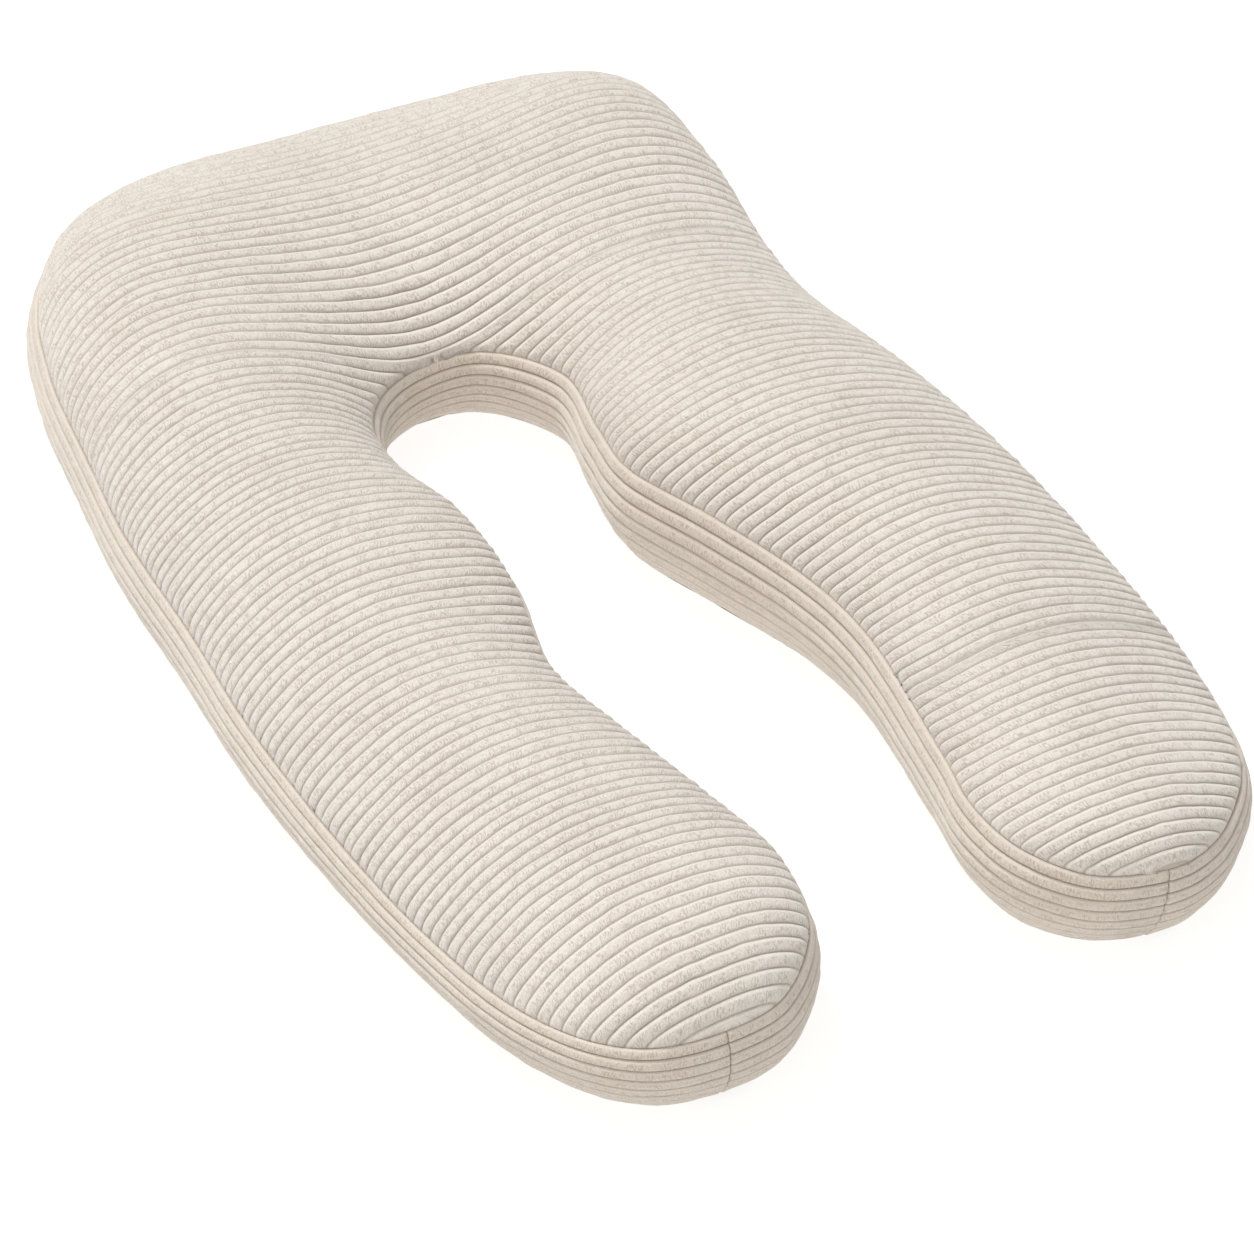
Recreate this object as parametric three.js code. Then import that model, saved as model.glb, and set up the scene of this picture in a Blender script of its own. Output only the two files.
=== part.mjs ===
// Pregnancy pillow: a U-shaped cushion of wide-wale plush corduroy.
// It lies on its bottom panel, head towards +Y, legs towards -Y, +Z up, millimetres.
// The origin is the middle of its footprint, on the surface it lies on.

import * as THREE from 'three';

// Side band, measured in its own section
const SEAM_HEIGHT = 102;
const FOOT_HEIGHT = 5;
const BAND_WIDTH = 107;
const BAND_WALES = 8;
const BAND_RELIEF = 2.6;
const BAND_THICKNESS = 4.0;
const PIECE_GAP = 0.3;
const TOP_TILT = 30 * Math.PI / 180;
const BOTTOM_TILT = -50 * Math.PI / 180;
const LIP = 2.0;
const JOINT_ROUND = 3.5;
const JOINT_DEPTH = 2.4;
const WALL_SHARES = [0.5];

// Crown of the top panel and its wales
const CROWN = 85;
const CROWN_REACH = 150;
const CROWN_POWER = 0.65;
const WALE_PITCH = 13.7;
const WALE_RELIEF = 3.4;
const WALE_FADE = 12;
const PANEL_COLUMNS = 6;
const HEAD_BLEND = 200;
const ROW_MARGIN = 4;
const ARCH_STEPS = 6;

// One wale of the cloth: its valley and the two shoulders of its rounded crest
const WALE = [
  { at: 0, depth: 1 },
  { at: 0.25, depth: 0.12 },
  { at: 0.75, depth: 0.12 },
];

// Hollows: how far each one spreads and how softly it starts at the seam
const HOLLOW_SPREAD = 95;
const HOLLOW_START = 25;

// Rounding of the bottom edge, from the bottom seam to the resting face
const BOTTOM_ROUND = [{ inset: 5, z: 1.5 }, { inset: 15, z: 0 }];

// Spacing of the stations along the seam: by length and by turn
const STATION_LENGTH = 80;
const STATION_TURN = 0.36;
const SPLINE_STEPS = 16;

// Where the two lengths of side band are joined, at the end of each leg
const JOINT_RIGHT = { x: 250, y: -700 };
const JOINT_LEFT = { x: -236, y: -705 };

// Middle of the footprint in the seam table's own axes
const FOOTPRINT_MIDDLE = { x: 2.7, y: 1.0 };

const CLOTH_COLOR = '#e6ddd1';
const CLOTH_ROUGHNESS = 0.95;

// Seam between the top panel and the side band, from the arch to the back of the head.
// A row holds the same station on both halves; lift is how much higher the seam is there.
const SEAM = [
  { xRight: -25, yRight: 320, xLeft: -25, yLeft: 320, lift: -10 },
  { xRight: 35, yRight: 310, xLeft: -85, yLeft: 290, lift: -5 },
  { xRight: 85, yRight: 230, xLeft: -125, yLeft: 225, lift: 5 },
  { xRight: 70, yRight: 130, xLeft: -135, yLeft: 140, lift: 15 },
  { xRight: 60, yRight: 45, xLeft: -120, yLeft: 50, lift: 25 },
  { xRight: 95, yRight: -65, xLeft: -125, yLeft: -70, lift: 30 },
  { xRight: 135, yRight: -185, xLeft: -150, yLeft: -195, lift: 25 },
  { xRight: 145, yRight: -285, xLeft: -135, yLeft: -305, lift: 25 },
  { xRight: 125, yRight: -470, xLeft: -100, yLeft: -460, lift: 20 },
  { xRight: 115, yRight: -555, xLeft: -85, yLeft: -540, lift: 15 },
  { xRight: 130, yRight: -625, xLeft: -105, yLeft: -630, lift: 10 },
  { xRight: 180, yRight: -680, xLeft: -170, yLeft: -695, lift: 0 },
  { xRight: 260, yRight: -700, xLeft: -240, yLeft: -705, lift: -5 },
  { xRight: 305, yRight: -685, xLeft: -305, yLeft: -690, lift: -10 },
  { xRight: 345, yRight: -655, xLeft: -350, yLeft: -650, lift: -15 },
  { xRight: 400, yRight: -585, xLeft: -390, yLeft: -570, lift: -20 },
  { xRight: 435, yRight: -440, xLeft: -415, yLeft: -435, lift: -25 },
  { xRight: 440, yRight: -260, xLeft: -430, yLeft: -280, lift: -20 },
  { xRight: 430, yRight: -95, xLeft: -435, yLeft: -100, lift: -10 },
  { xRight: 405, yRight: 70, xLeft: -425, yLeft: 50, lift: -5 },
  { xRight: 375, yRight: 220, xLeft: -415, yLeft: 215, lift: -5 },
  { xRight: 380, yRight: 350, xLeft: -395, yLeft: 340, lift: -5 },
  { xRight: 395, yRight: 465, xLeft: -370, yLeft: 475, lift: -5 },
  { xRight: 380, yRight: 605, xLeft: -330, yLeft: 585, lift: 0 },
  { xRight: 280, yRight: 670, xLeft: -260, yLeft: 665, lift: 0 },
  { xRight: 150, yRight: 695, xLeft: -150, yLeft: 705, lift: 0 },
  { xRight: -10, yRight: 700, xLeft: -10, yLeft: 700, lift: 5 },
];

// Soft hollows and rises of the head and the legs; shift moves the wales along Y
const HOLLOWS = [
  { x: -320, y: 340, rise: 5, shift: 15 },
  { x: -170, y: 340, rise: -10, shift: -10 },
  { x: 0, y: 340, rise: -20, shift: -10 },
  { x: 170, y: 340, rise: -15, shift: -5 },
  { x: 320, y: 340, rise: -25, shift: 0 },
  { x: -320, y: 470, rise: 10, shift: 10 },
  { x: -170, y: 470, rise: -10, shift: 0 },
  { x: 0, y: 470, rise: -20, shift: -10 },
  { x: 170, y: 470, rise: -15, shift: 0 },
  { x: 320, y: 470, rise: 5, shift: 10 },
  { x: -320, y: 600, rise: 20, shift: 10 },
  { x: -170, y: 600, rise: 5, shift: -15 },
  { x: 0, y: 600, rise: -20, shift: 0 },
  { x: 170, y: 600, rise: -20, shift: 0 },
  { x: 320, y: 600, rise: 0, shift: 15 },
  { x: -360, y: -560, rise: 0, shift: 15 },
  { x: -360, y: -360, rise: 0, shift: 15 },
  { x: -360, y: -160, rise: 0, shift: 15 },
  { x: -360, y: 40, rise: 0, shift: 20 },
  { x: -190, y: -360, rise: 0, shift: -15 },
  { x: -190, y: -160, rise: -20, shift: -5 },
  { x: 190, y: -560, rise: -15, shift: -15 },
  { x: 190, y: -360, rise: -15, shift: -10 },
  { x: 190, y: -160, rise: -5, shift: -5 },
  { x: 360, y: -560, rise: -15, shift: 0 },
  { x: 360, y: -360, rise: -10, shift: -5 },
  { x: 360, y: -160, rise: -5, shift: 0 },
];

const lerp = (a, b, t) => a + (b - a) * t;
const smooth = (t) => {
  const c = Math.min(1, Math.max(0, t));
  return c * c * (3 - 2 * c);
};

// Closed smooth curve through the seam stations, counter-clockwise from the arch
function seamCurve() {
  const right = SEAM.map((r) => [r.xRight, r.yRight, SEAM_HEIGHT + r.lift]);
  const left = SEAM.slice(1, -1).map((r) => [r.xLeft, r.yLeft, SEAM_HEIGHT + r.lift]);
  const knots = right.concat(left.reverse());
  const count = knots.length;
  const knot = (i) => knots[(i + count) % count];
  const gap = (a, b) => Math.hypot(b[0] - a[0], b[1] - a[1]) ** 0.5;
  const points = [];
  for (let i = 0; i < count; i += 1) {
    const [p0, p1, p2, p3] = [knot(i - 1), knot(i), knot(i + 1), knot(i + 2)];
    const [t1, t2, t3] = [gap(p0, p1), gap(p1, p2), gap(p2, p3)];
    for (let k = 0; k < SPLINE_STEPS; k += 1) {
      const t = k / SPLINE_STEPS;
      points.push(p1.map((value, axis) => {
        const [a, b, c, d] = [p0[axis], value, p2[axis], p3[axis]];
        const m1 = ((b - a) / t1 - (c - a) / (t1 + t2) + (c - b) / t2) * t2;
        const m2 = ((c - b) / t2 - (d - b) / (t2 + t3) + (d - c) / t3) * t2;
        const square = -3 * b + 3 * c - 2 * m1 - m2;
        const cube = 2 * b - 2 * c + m1 + m2;
        return b + m1 * t + square * t * t + cube * t * t * t;
      }));
    }
  }
  return points;
}

const curve = seamCurve();
const curveCount = curve.length;
const curveAt = (i) => curve[(i + curveCount) % curveCount];
const stepLength = curve.map((p, i) => {
  const q = curveAt(i + 1);
  return Math.hypot(q[0] - p[0], q[1] - p[1]);
});
const curveTurn = curve.map((p, i) => {
  const [a, b] = [curveAt(i - 1), curveAt(i + 1)];
  const before = Math.atan2(p[1] - a[1], p[0] - a[0]);
  const after = Math.atan2(b[1] - p[1], b[0] - p[0]);
  const turn = Math.abs(after - before);
  return Math.min(turn, 2 * Math.PI - turn);
});
const curveLength = [0];
const curveMeasure = [0];
for (let i = 0; i < curveCount; i += 1) {
  curveLength.push(curveLength[i] + stepLength[i]);
  const measure = stepLength[i] / STATION_LENGTH + curveTurn[i] / STATION_TURN;
  curveMeasure.push(curveMeasure[i] + measure);
}
const wholeLength = curveLength[curveCount];
const wholeMeasure = curveMeasure[curveCount];

// Station of the seam at a length along it: place, outward direction and length
function station(length) {
  const s = ((length % wholeLength) + wholeLength) % wholeLength;
  let low = 0;
  let high = curveCount;
  while (high - low > 1) {
    const middle = (low + high) >> 1;
    if (curveLength[middle] <= s) low = middle;
    else high = middle;
  }
  const t = (s - curveLength[low]) / stepLength[low];
  const place = (i, k) => lerp(curveAt(i)[k], curveAt(i + 1)[k], t);
  const [x, y, z] = [place(low, 0), place(low, 1), place(low, 2)];
  const dx = place(low + 1, 0) - place(low - 1, 0);
  const dy = place(low + 1, 1) - place(low - 1, 1);
  const size = Math.hypot(dx, dy);
  return { x, y, z, nx: dy / size, ny: -dx / size };
}

// Length along the seam at the point nearest to a place
function nearestLength(place) {
  let best = 0;
  let distance = Infinity;
  curve.forEach((p, i) => {
    const q = curveAt(i + 1);
    const [dx, dy] = [q[0] - p[0], q[1] - p[1]];
    const along = (place.x - p[0]) * dx + (place.y - p[1]) * dy;
    const t = Math.min(1, Math.max(0, along / stepLength[i] ** 2));
    const d = Math.hypot(p[0] + dx * t - place.x, p[1] + dy * t - place.y);
    if (d < distance) {
      distance = d;
      best = curveLength[i] + t * stepLength[i];
    }
  });
  return best;
}

const lengthToMeasure = (s) => {
  let i = 0;
  while (i < curveCount - 1 && curveLength[i + 1] <= s) i += 1;
  return lerp(curveMeasure[i], curveMeasure[i + 1], (s - curveLength[i]) / stepLength[i]);
};
const measureToLength = (value) => {
  const m = ((value % wholeMeasure) + wholeMeasure) % wholeMeasure;
  let i = 0;
  while (i < curveCount - 1 && curveMeasure[i + 1] <= m) i += 1;
  const t = (m - curveMeasure[i]) / (curveMeasure[i + 1] - curveMeasure[i]);
  return lerp(curveLength[i], curveLength[i + 1], t);
};

// Lengths from one joint to the next, closer together where the seam turns
function stationLengths(from, to) {
  const start = lengthToMeasure(from);
  let end = lengthToMeasure(to);
  if (end <= start) end += wholeMeasure;
  const parts = Math.ceil(end - start);
  const lengths = [];
  for (let i = 0; i <= parts; i += 1) {
    lengths.push(measureToLength(start + (end - start) * i / parts));
  }
  lengths[0] = from;
  lengths[parts] = to;
  return lengths;
}

const jointRight = nearestLength(JOINT_RIGHT);
const jointLeft = nearestLength(JOINT_LEFT);
const outerLengths = stationLengths(jointRight, jointLeft);
const innerLengths = stationLengths(jointLeft, jointRight);

// Point of the band section: share is 0 at the top seam and 1 at the bottom seam,
// depth is measured outward from the face of the band
function sectionPoint(at, share, depth) {
  const radius = BAND_WIDTH / (TOP_TILT - BOTTOM_TILT);
  const tilt = lerp(TOP_TILT, BOTTOM_TILT, share);
  const out = radius * (Math.cos(tilt) - Math.cos(TOP_TILT)) + depth * Math.cos(tilt);
  const drop = Math.sin(TOP_TILT) - Math.sin(tilt);
  const wholeDrop = Math.sin(TOP_TILT) - Math.sin(BOTTOM_TILT);
  const z = at.z - (at.z - FOOT_HEIGHT) * drop / wholeDrop + depth * Math.sin(tilt);
  return [at.x + at.nx * out, at.y + at.ny * out, z];
}

// Smooth distance to the seam: equal to the plain distance near it
function seamDistance(x, y) {
  let sum = 0;
  for (let i = 0; i < curveCount; i += 1) {
    const [a, b] = [curve[i], curveAt(i + 1)];
    const square = ((a[0] + b[0]) / 2 - x) ** 2 + ((a[1] + b[1]) / 2 - y) ** 2;
    sum += stepLength[i] / (square + 1);
  }
  return Math.PI / sum;
}

// Height of the seam, carried inwards by nearness
function seamLevel(x, y) {
  const SOFTENING = 100;
  let sum = 0;
  let weight = 0;
  for (let i = 0; i < curveCount; i += 4) {
    const square = (curve[i][0] - x) ** 2 + (curve[i][1] - y) ** 2 + SOFTENING;
    const w = 1 / square ** 1.5;
    sum += w * curve[i][2];
    weight += w;
  }
  return sum / weight;
}

// Point of the top panel over a place inside the seam, with the depth of its valleys
function panelPoint(x, y) {
  const distance = seamDistance(x, y);
  const rise = CROWN * (2 * distance / CROWN_REACH) ** CROWN_POWER;
  const soft = distance / (distance + HOLLOW_START);
  let z = seamLevel(x, y) + rise;
  let shift = 0;
  for (const hollow of HOLLOWS) {
    const square = (hollow.x - x) ** 2 + (hollow.y - y) ** 2;
    const share = Math.exp(-square / (2 * HOLLOW_SPREAD ** 2)) * soft;
    z += hollow.rise * share;
    shift += hollow.shift * share;
  }
  return { x, y: y + shift, z, fade: smooth(distance / WALE_FADE) };
}

function sunkPanelPoint(x, y, depth) {
  const STEP = 1;
  const p = panelPoint(x, y);
  if (depth === 0) return [p.x, p.y, p.z];
  const a = panelPoint(x + STEP, y);
  const b = panelPoint(x, y + STEP);
  const along = new THREE.Vector3(a.x - p.x, a.y - p.y, a.z - p.z);
  const across = new THREE.Vector3(b.x - p.x, b.y - p.y, b.z - p.z);
  const normal = along.cross(across).normalize().multiplyScalar(-depth * p.fade);
  return [p.x + normal.x, p.y + normal.y, p.z + normal.z];
}

// Crossings of one run of the seam with a row, sorted by x
function crossings(first, last, y) {
  const found = [];
  for (let i = first; i < last; i += 1) {
    const [a, b] = [curveAt(i), curveAt(i + 1)];
    if ((a[1] <= y) !== (b[1] <= y)) {
      const t = (y - a[1]) / (b[1] - a[1]);
      found.push([lerp(a[0], b[0], t), y, lerp(a[2], b[2], t)]);
    }
  }
  return found.sort((a, b) => a[0] - b[0]);
}

// Collects points and faces of one closed body
class Shell {
  constructor() {
    this.points = [];
    this.faces = [];
  }

  point(p) {
    this.points.push([p[0] - FOOTPRINT_MIDDLE.x, p[1] - FOOTPRINT_MIDDLE.y, p[2]]);
    return this.points.length - 1;
  }

  row(points) {
    return points.map((p) => this.point(p));
  }

  // Two faces, or one where two corners are the same point
  quad(a, b, c, d) {
    for (const face of [[a, b, c], [a, c, d]]) {
      if (new Set(face).size === 3) this.faces.push(face);
    }
  }

  // Faces between two rows of the same length; b lies to the left of a
  strip(a, b, closed = false) {
    const count = closed ? a.length : a.length - 1;
    for (let i = 0; i < count; i += 1) {
      const j = (i + 1) % a.length;
      this.quad(a[i], a[j], b[j], b[i]);
    }
  }

  mesh(name, material) {
    let volume = 0;
    for (const face of this.faces) {
      const [a, b, c] = face.map((i) => new THREE.Vector3(...this.points[i]));
      volume += a.dot(b.cross(c));
    }
    const faces = volume < 0 ? this.faces.map(([a, b, c]) => [a, c, b]) : this.faces;
    const geometry = new THREE.BufferGeometry();
    geometry.setAttribute('position', new THREE.Float32BufferAttribute(this.points.flat(), 3));
    geometry.setIndex(faces.flat());
    geometry.computeVertexNormals();
    const mesh = new THREE.Mesh(geometry, material);
    mesh.name = name;
    return mesh;
  }
}

// Rows of the top panel between two heights; one crest lies on the top of the arch
function rowsBetween(low, high, archTop) {
  const rows = [];
  const origin = archTop - WALE_PITCH / 2;
  const first = Math.floor((low - origin) / WALE_PITCH);
  const last = Math.ceil((high - origin) / WALE_PITCH);
  for (let k = first; k <= last; k += 1) {
    for (const { at, depth } of WALE) {
      const y = origin + (k + at) * WALE_PITCH;
      if (y > low && y < high) rows.push({ y, depth: depth * WALE_RELIEF });
    }
  }
  return rows;
}

const cosineShare = (j, count) => (1 - Math.cos(Math.PI * j / count)) / 2;

// One row of points from seam to seam; the ends lie on the seam itself
function panelRow(left, right, shares, row) {
  return shares.map((share, j) => {
    if (j === 0) return left;
    if (j === shares.length - 1) return right;
    return sunkPanelPoint(lerp(left[0], right[0], share), row.y, row.depth);
  });
}

// Top panel; returns the indices of its edge, counter-clockwise from the left of the arch
function addTopPanel(shell) {
  const headMiddle = (SEAM.length - 1) * SPLINE_STEPS;
  const archSpan = 2 * SPLINE_STEPS;
  let apex = 0;
  for (let i = -archSpan; i <= archSpan; i += 1) {
    if (curveAt(i)[1] > curveAt(apex)[1]) apex = i;
  }
  const archTop = curveAt(apex);
  const legShares = [...Array(PANEL_COLUMNS + 1).keys()].map((j) => cosineShare(j, PANEL_COLUMNS));

  // Legs: rows run from the inner seam to the outer one, or the other way round
  const legRows = (first, last) => {
    let low = Infinity;
    for (let i = first; i < last; i += 1) low = Math.min(low, curveAt(i)[1]);
    return rowsBetween(low + ROW_MARGIN, archTop[1], archTop[1]).map((row) => {
      const found = crossings(first, last, row.y);
      const outerFirst = Math.abs(found[0][0]) > Math.abs(found[found.length - 1][0]);
      const ends = outerFirst ? found.slice(0, 2) : found.slice(-2);
      return shell.row(panelRow(ends[0], ends[1], legShares, row));
    });
  };
  const rightLeg = legRows(apex, headMiddle);
  const leftLeg = legRows(headMiddle, curveCount + apex);
  for (const leg of [rightLeg, leftLeg]) {
    for (let k = 1; k < leg.length; k += 1) shell.strip(leg[k - 1], leg[k]);
  }

  // Head: rows run from the left seam to the right seam, past the top of the arch
  const headTop = Math.max(...curve.map((p) => p[1]));
  const head = rowsBetween(archTop[1], headTop - ROW_MARGIN, archTop[1]).map((row) => {
    const found = crossings(0, curveCount, row.y);
    const [left, right] = [found[0], found[found.length - 1]];
    const middle = (archTop[0] - left[0]) / (right[0] - left[0]);
    const blend = smooth((row.y - archTop[1]) / HEAD_BLEND);
    const columns = 2 * PANEL_COLUMNS;
    const shares = [...Array(columns + 1).keys()].map((j) => {
      const whole = cosineShare(j, columns);
      const half = j <= PANEL_COLUMNS
        ? middle * legShares[j]
        : middle + (1 - middle) * legShares[j - PANEL_COLUMNS];
      return lerp(half, whole, blend);
    });
    return shell.row(panelRow(left, right, shares, row));
  });
  for (let k = 1; k < head.length; k += 1) shell.strip(head[k - 1], head[k]);

  // Legs to head, and the fan over the arch
  const rightTop = rightLeg[rightLeg.length - 1];
  const leftTop = leftLeg[leftLeg.length - 1];
  shell.strip(leftTop, head[0].slice(0, PANEL_COLUMNS + 1));
  shell.strip(rightTop, head[0].slice(PANEL_COLUMNS));
  const arch = seamRun(shell, leftTop[PANEL_COLUMNS], rightTop[0], ARCH_STEPS);
  const middle = head[0][PANEL_COLUMNS];
  for (let i = 1; i < arch.length; i += 1) shell.faces.push([arch[i - 1], arch[i], middle]);

  // Caps between the last rows and the seam, at the leg ends and the back of the head
  const first = (row) => row[0];
  const final = (row) => row[row.length - 1];
  const cap = (row) => seamRun(shell, first(row), final(row), row.length - 1);
  const rightEnd = cap(rightLeg[0]);
  const leftEnd = cap(leftLeg[0]);
  const back = cap([...final(head)].reverse());
  shell.strip(rightEnd, rightLeg[0]);
  shell.strip(leftEnd, leftLeg[0]);
  shell.strip(final(head), [...back].reverse());

  // Edge of the panel
  return [
    ...arch.slice(0, -1),
    ...rightLeg.map(first).reverse(),
    ...rightEnd.slice(1, -1),
    ...rightLeg.map(final),
    ...head.map(final),
    ...back.slice(1, -1),
    ...head.map(first).reverse(),
    ...leftLeg.map(first).reverse(),
    ...leftEnd.slice(1, -1),
    ...leftLeg.map(final).slice(0, -1),
  ];
}

// Points of the seam from one point of the edge to another, counter-clockwise
function seamRun(shell, from, to, steps) {
  const start = nearestLength(asPlace(shell.points[from]));
  const end = nearestLength(asPlace(shell.points[to]));
  const span = (end - start + wholeLength) % wholeLength;
  const run = [from];
  for (let i = 1; i < steps; i += 1) {
    const at = station(start + span * i / steps);
    run.push(shell.point([at.x, at.y, at.z]));
  }
  run.push(to);
  return run;
}

// Place of a stored point in the seam table's own axes
function asPlace(p) {
  return { x: p[0] + FOOTPRINT_MIDDLE.x, y: p[1] + FOOTPRINT_MIDDLE.y };
}

// Joins the dense edge of the panel to the first ring of the side, by length along the seam
function joinEdge(shell, edge, ring, ringLengths) {
  const start = nearestLength(asPlace(shell.points[edge[0]]));
  const after = (length) => (length - start + wholeLength + wholeLength / 2) % wholeLength;
  const shifted = (length) => after(length) - wholeLength / 2;
  const edgeKeys = edge.map((i) => shifted(nearestLength(asPlace(shell.points[i]))));
  const unwrap = (keys) => {
    const out = [keys[0]];
    for (let i = 1; i < keys.length; i += 1) {
      let key = keys[i];
      while (key < out[i - 1] - wholeLength / 2) key += wholeLength;
      out.push(Math.max(key, out[i - 1]));
    }
    return out;
  };
  const edgeRun = unwrap(edgeKeys);
  const keys = ringLengths.map(shifted);
  let first = 0;
  keys.forEach((key, i) => {
    if (Math.abs(key) < Math.abs(keys[first])) first = i;
  });
  const turned = ring.map((_, i) => ring[(i + first) % ring.length]);
  const ringRun = unwrap(keys.map((_, i) => keys[(i + first) % keys.length]));
  const [edgeCount, ringCount] = [edge.length, ring.length];
  let i = 0;
  let j = 0;
  while (i < edgeCount || j < ringCount) {
    const nextEdge = i < edgeCount ? (edgeRun[i + 1] ?? edgeRun[0] + wholeLength) : Infinity;
    const nextRing = j < ringCount ? (ringRun[j + 1] ?? ringRun[0] + wholeLength) : Infinity;
    const [e, r] = [edge[i % edgeCount], turned[j % ringCount]];
    if (nextEdge <= nextRing) {
      shell.faces.push([r, edge[(i + 1) % edgeCount], e]);
      i += 1;
    } else {
      shell.faces.push([r, turned[(j + 1) % ringCount], e]);
      j += 1;
    }
  }
}

// Filled body: top panel, the side behind the band, and the bottom panel, as one solid
function filledBody(material) {
  const shell = new Shell();
  const edge = addTopPanel(shell);
  const lengths = [...outerLengths.slice(0, -1), ...innerLengths.slice(0, -1)];
  const stations = lengths.map(station);
  const lip = LIP / BAND_WIDTH;
  const wall = -(BAND_THICKNESS + PIECE_GAP);
  const profile = [
    { share: lip, depth: 0 },
    { share: lip, depth: wall },
    ...WALL_SHARES.map((share) => ({ share, depth: wall })),
    { share: 1 - lip, depth: wall },
    { share: 1 - lip, depth: 0 },
    { share: 1, depth: 0 },
  ];
  const rings = profile.map(({ share, depth }) => {
    return shell.row(stations.map((at) => sectionPoint(at, share, depth)));
  });
  for (const { inset, z } of BOTTOM_ROUND) {
    rings.push(shell.row(stations.map((at) => {
      const foot = sectionPoint(at, 1, 0);
      return [foot[0] - at.nx * inset, foot[1] - at.ny * inset, z];
    })));
  }
  joinEdge(shell, edge, rings[0], lengths);
  for (let k = 1; k < rings.length; k += 1) shell.strip(rings[k], rings[k - 1], true);
  const base = rings[rings.length - 1];
  const outline = base.map((i) => new THREE.Vector2(shell.points[i][0], shell.points[i][1]));
  for (const [a, b, c] of THREE.ShapeUtils.triangulateShape(outline, [])) {
    shell.faces.push([base[c], base[b], base[a]]);
  }
  return shell.mesh('pillow_body', material);
}

// One length of side band with its wales, its ends turned in at the joints
function bandLength(name, lengths, material) {
  const shell = new Shell();
  const from = lengths[0];
  const run = lengths.map((s) => (s - from + wholeLength) % wholeLength);
  const whole = run[run.length - 1];
  const half = PIECE_GAP / 2;
  const stops = [half, half + JOINT_ROUND];
  stops.push(...run.slice(1, -1));
  stops.push(whole - half - JOINT_ROUND, whole - half);
  const start = (LIP + PIECE_GAP) / BAND_WIDTH;
  const sections = stops.map((s, i) => {
    const at = station(from + s);
    const turnedIn = i === 0 || i === stops.length - 1 ? JOINT_DEPTH : 0;
    const outer = [];
    for (let k = 0; k <= BAND_WALES; k += 1) {
      for (const row of k < BAND_WALES ? WALE : WALE.slice(0, 1)) {
        const share = lerp(start, 1 - start, (k + row.at) / BAND_WALES);
        const depth = Math.max(row.depth * BAND_RELIEF, turnedIn);
        outer.push(sectionPoint(at, share, -depth));
      }
    }
    const inner = [1 - start, ...[...WALL_SHARES].reverse(), start].map((share) => {
      return sectionPoint(at, share, -BAND_THICKNESS);
    });
    return { at, row: shell.row([...outer, ...inner]) };
  });
  for (let i = 1; i < sections.length; i += 1) {
    shell.strip(sections[i - 1].row, sections[i].row, true);
  }
  const cap = (section, flip) => {
    const flat = section.row.map((i) => {
      const { x, y } = asPlace(shell.points[i]);
      const out = (x - section.at.x) * section.at.nx + (y - section.at.y) * section.at.ny;
      return new THREE.Vector2(out, shell.points[i][2]);
    });
    for (const [a, b, c] of THREE.ShapeUtils.triangulateShape(flat, [])) {
      const face = [section.row[a], section.row[b], section.row[c]];
      shell.faces.push(flip ? face.reverse() : face);
    }
  };
  cap(sections[0], false);
  cap(sections[sections.length - 1], true);
  return shell.mesh(name, material);
}

const cloth = () => new THREE.MeshStandardMaterial({
  color: CLOTH_COLOR,
  roughness: CLOTH_ROUGHNESS,
  metalness: 0,
});

const pillow = new THREE.Group();
pillow.name = 'pregnancy_pillow';
pillow.add(filledBody(cloth()));
pillow.add(bandLength('band_outer', outerLengths, cloth()));
pillow.add(bandLength('band_inner', innerLengths, cloth()));

export default pillow;
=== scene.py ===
import math
from collections import namedtuple

import bpy
import numpy as np
from mathutils import Matrix


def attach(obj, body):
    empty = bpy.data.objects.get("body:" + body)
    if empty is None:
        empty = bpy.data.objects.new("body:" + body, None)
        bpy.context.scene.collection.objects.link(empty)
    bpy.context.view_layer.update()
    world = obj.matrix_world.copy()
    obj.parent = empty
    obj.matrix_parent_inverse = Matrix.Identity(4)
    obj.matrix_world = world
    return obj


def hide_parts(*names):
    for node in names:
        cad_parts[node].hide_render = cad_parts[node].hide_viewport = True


# U-shaped pregnancy pillow in plush corduroy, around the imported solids.
# The shape repeats the named values of the part's source. Lengths are in millimetres
# until a mesh is made.

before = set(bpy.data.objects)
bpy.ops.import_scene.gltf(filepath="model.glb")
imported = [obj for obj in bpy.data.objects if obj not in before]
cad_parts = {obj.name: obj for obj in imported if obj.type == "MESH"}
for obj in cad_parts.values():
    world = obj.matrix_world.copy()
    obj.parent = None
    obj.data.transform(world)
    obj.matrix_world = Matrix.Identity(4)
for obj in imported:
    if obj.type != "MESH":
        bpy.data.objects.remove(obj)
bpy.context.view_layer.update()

MILLIMETRE = 0.001

# Side band, measured in its own section
SEAM_HEIGHT = 102
FOOT_HEIGHT = 5
BAND_WIDTH = 107
BAND_WALES = 8
BAND_RELIEF = 3.9
TOP_TILT = math.radians(30)
BOTTOM_TILT = math.radians(-50)
BAND_STATION = 6

# Joints of the side band: rounded edge, close stations there, depth, and lean of its ends
JOINT_ROUND = 2.2
JOINT_STOPS = (0, 0.5, 1.2, JOINT_ROUND)
JOINT_DEPTH = 2.6
JOINT_SLANT = -20
SLANT_SPAN = 60

# Crown of the top panel and its wales, which are lower at the leg ends and at the back.
# The columns of the head turn from two halves into one over the blend behind the arch.
CROWN = 85
CROWN_REACH = 150
CROWN_POWER = 0.65
WALE_PITCH = 13.7
WALE_RELIEF = 3.9
END_RELIEF_SHARE = 0.62
BACK_START = 655
BACK_SPAN = 40
WALE_TIP = 7
HEAD_BLEND = 200
ROW_MARGIN = 1.0

# Wales in the last stretch of cloth before the seam at the back of the head
BACK_WALES = 3

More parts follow.
